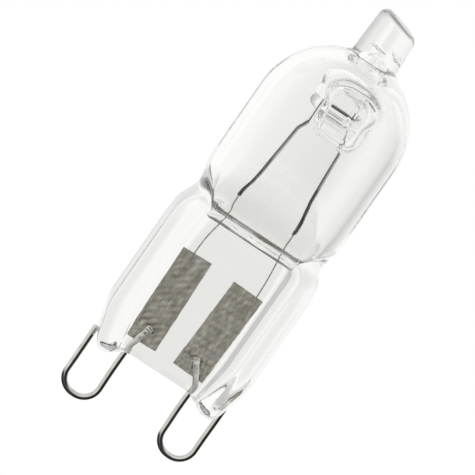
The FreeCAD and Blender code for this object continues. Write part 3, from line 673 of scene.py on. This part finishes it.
def innerLead(name, side, node):
    # thin round wire along that line
    c = leads
    at = np.arange(c["foot"], c["top"], c["spacing"])
    path = np.stack([leadX(side, at), 0 * at, at], axis=1)
    across, up = flatFrame(path)
    radius = np.full(len(at), c["wire"])
    points, faces, uv = tube(path, at, across, up, radius, radius, c["sides"])
    return makePiece(name, points, faces, leadWire, node, uv)


innerLead("lead_left", -1, "inner_lead_left")
innerLead("lead_right", 1, "inner_lead_right")
print("leads made")


# Foils: thin sheets, crinkled by the press, most of all round the welds

foils = {
    "width": 2.8, "bottom": 1.1, "thickness": 0.03, "depth": 0.12, "ragged": 0.010, "crinkle": 0.05,
    "weldHeight": 2.2, "weldReach": 1.3, "weldCrinkle": 1.5, "ridge": 0.04, "ridgeWidth": 0.2,
    "pointsWide": 101, "pointsLong": 161,
}


def sealFoil(name, middleX, top, lean, side, node, seed):
    # grid across and along; depth is a sum of waves, less a ridge where the foil lies over the inner lead
    f = foils
    s, t = np.meshgrid(np.linspace(-1, 1, f["pointsWide"]), np.linspace(0, 1, f["pointsLong"]), indexing="ij")
    height = top - f["bottom"]
    along = t * height - height / 2
    across = s * f["width"] / 2 * (1 + f["ragged"] * waves(seed, 5, 0.9, 0 * s, t * height))
    turn = math.radians(lean)
    x = middleX + across * math.cos(turn) + along * math.sin(turn)
    z = f["bottom"] + height / 2 + along * math.cos(turn) - across * math.sin(turn)
    rough = 1 + f["weldCrinkle"] * np.exp(-((z - f["weldHeight"]) / f["weldReach"]) ** 2)
    broad = 0.6 * waves(seed + 1, 6, 1.6, across, along * 0.5)
    sharp = 0.4 * waves(seed + 2, 7, 0.6, across, along * 0.7)
    y = f["depth"] + f["crinkle"] * rough * (broad + sharp) * (1 - 0.5 * s ** 4)
    overLead = smoothStep(leads["foot"] - 0.2, leads["foot"] + 0.3, z)
    y = y - f["ridge"] * np.exp(-((x - leadX(side, z)) / f["ridgeWidth"]) ** 2) * overLead
    points = np.stack([x, y, z], axis=-1).reshape(-1, 3)
    faces = gridFaces(f["pointsWide"], f["pointsLong"], closed=False)
    piece = makePiece(name, points, faces, foilMetal, node)
    thick = piece.modifiers.new("thickness", "SOLIDIFY")
    thick.thickness = f["thickness"] * mm
    thick.offset = 0
    return piece


sealFoil("seal_foil_left", middleX=-2.65, top=9.4, lean=-1.8, side=-1, node="foil_left", seed=21)
sealFoil("seal_foil_right", middleX=2.1, top=9.2, lean=2.0, side=1, node="foil_right", seed=31)
print("foils made")


# Filament: one wire wound round a path, up one leg, over the post and down the other

coil = {
    "wire": 0.037, "coilRadius": 0.122, "openPitch": 0.128, "plugPitch": 0.098, "plugSpan": (0.5, 0.62),
    "fineWire": 0.035, "fineRadius": 0.035, "finePitch": 0.09, "fineX": 1.52, "kink": 0.75,
    "leftLonger": 0.75, "thinAtLeg": 0.25, "thinAtPost": 0.12, "heldHalf": 0.7, "heldHeight": 25.05,
    "bends": (0.12, 0.3, 0.2, 0.2, 0.5, 0.6), "spacing": 0.006, "turnPoints": 12, "sides": 7,
}


def filament():
    # path first, then a helix about it, then a round section about the helix; the fine wire is a very narrow
    # helix
    c = coil
    low, high = (leads["legLowX"], leads["legLowZ"]), (leads["legHighX"], leads["legHighZ"])
    half = [(low[0], 0, low[1]), (high[0], 0, high[1]), (c["fineX"], 0, high[1] + c["kink"]),
            (c["fineX"], 0, c["heldHeight"])]
    corners = [(-x, y, z) for x, y, z in half] + half[::-1]
    path, at = cornerPath(corners, c["bends"], c["spacing"])
    leg = math.hypot(high[0] - low[0], high[1] - low[1])
    fromEnd = np.minimum(at, at[-1] - at)
    fromMiddle = np.abs(at - at[-1] / 2)
    legEnd = np.where(at < at[-1] / 2, leg + c["leftLonger"], leg)
    fine = smoothStep(0, c["thinAtLeg"], fromEnd - legEnd)
    fine = fine * smoothStep(0, c["thinAtPost"], fromMiddle - c["heldHalf"])
    plug = 1 - smoothStep(c["plugSpan"][0] * leg, c["plugSpan"][1] * leg, fromEnd)
    pitch = c["openPitch"] + (c["plugPitch"] - c["openPitch"]) * plug
    pitch = pitch + (c["finePitch"] - c["openPitch"]) * fine
    radius = c["coilRadius"] + (c["fineRadius"] - c["coilRadius"]) * fine
    phase = np.cumsum(2 * math.pi / pitch) * (at[1] - at[0])
    even = np.arange(0, phase[-1], 2 * math.pi / c["turnPoints"])
    across, up = flatFrame(path)
    path, across, up = (np.stack([np.interp(even, phase, table[:, i]) for i in range(3)], axis=1)
                        for table in (path, across, up))
    radius, fine = np.interp(even, phase, radius), np.interp(even, phase, fine)
    outward = across * np.cos(even)[:, None] + up * np.sin(even)[:, None]
    helix = path + outward * radius[:, None]
    along = np.gradient(helix, axis=0)
    along /= np.linalg.norm(along, axis=1)[:, None]
    aside = np.cross(along, outward)
    wire = c["wire"] + (c["fineWire"] - c["wire"]) * fine
    length = np.concatenate([[0], np.cumsum(np.linalg.norm(np.diff(helix, axis=0), axis=1))])
    points, faces, uv = tube(helix, length, outward, aside, wire, wire, c["sides"])
    return makePiece("coiled_filament", points, faces, tungsten, "filament", uv)


filament()
print("filament made")


# Stage: pale floor, white panel behind, soft light all round and one lamp at the left, in metres

stage = {
    "floorZ": -0.25, "floorHalf": 3, "floorColour": "DDDCDA",
    "panelY": 0.62, "panelHalf": 0.42, "panelHigh": 0.75,
    "lampPlace": (-0.5, -0.15, 0.45), "lampAim": (0, 0, 0.013), "lampSize": 0.3, "lampWatts": 3.0,
}


def floorMaterial():
    # matt pale paper with a faint tooth
    material, tree = newMaterial("paper_pale_matt")
    place = addNode(tree, "ShaderNodeTexCoord").outputs["Object"]
    tooth = addNode(tree, "ShaderNodeTexNoise", {"Scale": 1 / (1.5 * mm), "Detail": 3.0}, {"Vector": place})
    bump = addNode(tree, "ShaderNodeBump", {"Strength": 0.1, "Distance": 0.05 * mm},
                   {"Height": tooth.outputs["Fac"]})
    shader = addNode(tree, "ShaderNodeBsdfPrincipled",
                     {"Base Color": hexColour(stage["floorColour"]), "Roughness": 0.9},
                     {"Normal": bump.outputs["Normal"]})
    finishMaterial(tree, shader)
    return material


def panelMaterial():
    # white to the eye and in the metal; slightly grey in bands where it is seen through the glass, painted
    # shade that stands in for the grey tones of the glass; and otherwise plain pale paper that gives no light
    material, tree = newMaterial("panel_white_lit")
    path = addNode(tree, "ShaderNodeLightPath").outputs
    seen = path["Is Camera Ray"]
    for kind in ("Is Glossy Ray", "Is Transmission Ray"):
        seen = addNode(tree, "ShaderNodeMath", links={0: seen, 1: path[kind]}, operation="MAXIMUM").outputs[0]
    place = addNode(tree, "ShaderNodeTexCoord").outputs["Object"]
    aside = addNode(tree, "ShaderNodeSeparateXYZ", links={0: place}).outputs["X"]
    across = addNode(tree, "ShaderNodeMapRange",
                     {"From Min": -stage["panelHalf"], "From Max": stage["panelHalf"]}, {"Value": aside})
    # painted shade: grey bands across the panel, seen only by rays through the glass, that make the glass
    # look grey in places
    shade = addNode(tree, "ShaderNodeValToRGB", links={"Fac": across.outputs["Result"]},
                    stops=[(0.45, "FFFFFF"), (0.52, "F4F4F3"), (0.58, "EEEEEC"), (0.64, "EDEDEB"),
                           (0.69, "FDFDFC"), (0.75, "FBFBFA"), (0.86, "F0F0EE"), (1.0, "EAEAE7")])
    colour = addNode(tree, "ShaderNodeMix", {6: (1, 1, 1, 1)},
                     {0: path["Is Transmission Ray"], 7: shade.outputs["Color"]}, data_type="RGBA")
    white = addNode(tree, "ShaderNodeEmission", {"Strength": 1.0}, {"Color": colour.outputs[2]})
    paper = addNode(tree, "ShaderNodeBsdfDiffuse", {"Color": hexColour(stage["floorColour"])})
    shader = addNode(tree, "ShaderNodeMixShader", links={0: seen, 1: paper.outputs[0], 2: white.outputs[0]})
    finishMaterial(tree, shader)
    return material


def stageSheet(name, points, material):
    mesh = bpy.data.meshes.new(name)
    mesh.from_pydata(points, [], [(0, 1, 2, 3)])
    sheet = bpy.data.objects.new(name, mesh)
    bpy.context.scene.collection.objects.link(sheet)
    mesh.materials.append(material)
    return sheet


floorZ, reach = stage["floorZ"], stage["floorHalf"]
floor = stageSheet("floor", [(-reach, -reach, floorZ), (reach, -reach, floorZ), (reach, reach, floorZ),
                             (-reach, reach, floorZ)], floorMaterial())
floor.visible_glossy = False  # neither mirrored nor seen through the glass
floor.visible_transmission = False
panelY, half, high = stage["panelY"], stage["panelHalf"], stage["panelHigh"]
stageSheet("panel", [(-half, panelY, floorZ), (half, panelY, floorZ), (half, panelY, high),
                     (-half, panelY, high)], panelMaterial())

world = bpy.data.worlds.new("studio_gradient")
bpy.context.scene.world = world
world.use_nodes = True
sky = world.node_tree
sky.nodes.clear()
direction = addNode(sky, "ShaderNodeTexCoord").outputs["Generated"]

skyShades = {  # direction of each dark place, cosines at which it starts and is full, and its level
    "tent": [((0.9, -0.2, -0.35), 0.1, 0.9, 0.58), ((0, -0.8, -0.6), 0.35, 0.95, 0.5),
             ((0, 0.2, -1), 0.55, 0.85, 0.25)],
    "mirrored": [((0.8, -0.45, -0.4), 0.15, 0.7, 0.03), ((0, 0, -1), 0.22, 0.5, 0.05)],
}


def skyLevel(shades):
    # level of white light: 1, but lower towards each dark place, and the lowest counts
    levels = []
    for aim, start, full, low in shades:
        towards = addNode(sky, "ShaderNodeVectorMath", {1: aim}, {0: direction}, operation="DOT_PRODUCT")
        shade = addNode(sky, "ShaderNodeMapRange",
                        {"From Min": start, "From Max": full, "To Min": 1.0, "To Max": low},
                        {"Value": towards.outputs["Value"]}, interpolation_type="SMOOTHSTEP")
        levels.append(shade.outputs["Result"])
    lowest = levels[0]
    for level in levels[1:]:
        lowest = addNode(sky, "ShaderNodeMath", links={0: lowest, 1: level}, operation="MINIMUM").outputs[0]
    return lowest


path = addNode(sky, "ShaderNodeLightPath").outputs
mirrored = addNode(sky, "ShaderNodeMath", links={0: path["Is Glossy Ray"], 1: path["Is Transmission Ray"]},
                   operation="SUBTRACT")  # refracted rays count as glossy too
level = addNode(sky, "ShaderNodeMix", links={0: mirrored.outputs[0], 2: skyLevel(skyShades["tent"]),
                                             3: skyLevel(skyShades["mirrored"])})
level = addNode(sky, "ShaderNodeMath", links={0: level.outputs[0], 1: path["Is Camera Ray"]},
                operation="MAXIMUM")  # white to the eye
light = addNode(sky, "ShaderNodeBackground", {"Color": (1, 1, 1, 1)}, {"Strength": level.outputs[0]})
addNode(sky, "ShaderNodeOutputWorld", links={"Surface": light.outputs[0]})

lamp = bpy.data.lights.new("lamp_left", "AREA")
lamp.size = stage["lampSize"]
lamp.energy = stage["lampWatts"]
lampStand = bpy.data.objects.new("lamp_left", lamp)
bpy.context.scene.collection.objects.link(lampStand)
lampStand.location = stage["lampPlace"]
lampLine = Vector(stage["lampAim"]) - Vector(stage["lampPlace"])
lampStand.rotation_euler = lampLine.to_track_quat("-Z", "Y").to_euler()
lampStand.visible_glossy = False
lampStand.visible_transmission = False
print("stage made")


# Camera: the bulb leans to the right in the picture, so the camera is rolled; distance in metres, aim in mm

view = {
    "azimuth": -8.0, "elevation": 10.7, "roll": 34.88, "distance": 0.4, "lens": 389.6, "sensor": 36,
    "aimUp": 12.22, "aimSide": -0.87,
}
azimuth, elevation, roll = (math.radians(view[key]) for key in ("azimuth", "elevation", "roll"))
side = Vector((math.cos(azimuth), math.sin(azimuth), 0))
back = Vector((math.sin(azimuth) * math.cos(elevation), -math.cos(azimuth) * math.cos(elevation),
               math.sin(elevation)))
lift = back.cross(side)
right = side * math.cos(roll) + lift * math.sin(roll)
top = lift * math.cos(roll) - side * math.sin(roll)
target = (Vector((0, 0, view["aimUp"])) + side * view["aimSide"]) * mm
camera = bpy.data.cameras.new("camera")
camera.lens = view["lens"]
camera.sensor_width = view["sensor"]
camera.clip_end = 20
cameraStand = bpy.data.objects.new("camera", camera)
bpy.context.scene.collection.objects.link(cameraStand)
turned = Matrix((right, top, back)).transposed().to_4x4()
cameraStand.matrix_world = Matrix.Translation(target + back * view["distance"]) @ turned
bpy.context.scene.camera = cameraStand
bpy.context.scene.view_settings.view_transform = "Standard"
bpy.context.scene.cycles.max_bounces = 32  # light runs far inside the thick press before it leaves the glass
bpy.context.scene.cycles.glossy_bounces = 32
bpy.context.scene.cycles.transmission_bounces = 32

print("all made")
